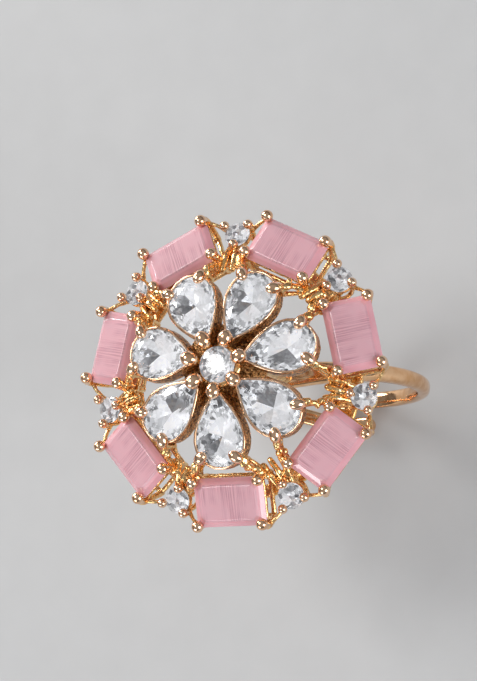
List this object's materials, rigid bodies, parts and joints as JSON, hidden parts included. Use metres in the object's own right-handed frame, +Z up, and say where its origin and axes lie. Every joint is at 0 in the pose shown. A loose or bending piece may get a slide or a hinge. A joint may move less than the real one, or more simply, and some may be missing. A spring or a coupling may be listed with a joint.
{
  "type": "cocktail ring",
  "caption": "Domed flower cocktail ring: pear petals round a clear stone, inside a rim of pink rectangular stones and round accents, on an open adjustable band.",
  "frame": {"origin": "centre of the finger hole, on its axis", "axes": "+Z up through the centre of the flower head, Y along the finger, +X to the right seen with the head up and -Y towards the viewer"},
  "size_m": [0.0266, 0.026, 0.0306],
  "materials": {
    "rose_gold": "rose-gold plated casting, polished on the beads and band, granular in the recesses",
    "clear_stone": "faceted and polished",
    "pink_stone": "step cut, polished, with fine fibres across the width"
  },
  "bodies": {
    "root": {"shank": "rose_gold", "left_post": "rose_gold", "right_post": "rose_gold", "cluster_plate": "rose_gold", "gallery_ring": "rose_gold", "centre_setting": "rose_gold", "centre_stone": "clear_stone", "petal_setting_1": "rose_gold", "petal_setting_2": "rose_gold", "petal_setting_3": "rose_gold", "petal_setting_4": "rose_gold", "petal_setting_5": "rose_gold", "petal_setting_6": "rose_gold", "petal_setting_7": "rose_gold", "petal_stone_1": "clear_stone", "petal_stone_2": "clear_stone", "petal_stone_3": "clear_stone", "petal_stone_4": "clear_stone", "petal_stone_5": "clear_stone", "petal_stone_6": "clear_stone", "petal_stone_7": "clear_stone", "rim_setting_1": "rose_gold", "rim_setting_2": "rose_gold", "rim_setting_3": "rose_gold", "rim_setting_4": "rose_gold", "rim_setting_5": "rose_gold", "rim_setting_6": "rose_gold", "rim_setting_7": "rose_gold", "rim_stone_1": "pink_stone", "rim_stone_2": "pink_stone", "rim_stone_3": "pink_stone", "rim_stone_4": "pink_stone", "rim_stone_5": "pink_stone", "rim_stone_6": "pink_stone", "rim_stone_7": "pink_stone", "accent_setting_1": "rose_gold", "accent_setting_2": "rose_gold", "accent_setting_3": "rose_gold", "accent_setting_4": "rose_gold", "accent_setting_5": "rose_gold", "accent_setting_6": "rose_gold", "accent_setting_7": "rose_gold", "accent_stone_1": "clear_stone", "accent_stone_2": "clear_stone", "accent_stone_3": "clear_stone", "accent_stone_4": "clear_stone", "accent_stone_5": "clear_stone", "accent_stone_6": "clear_stone", "accent_stone_7": "clear_stone"}
  },
  "joints": []
}
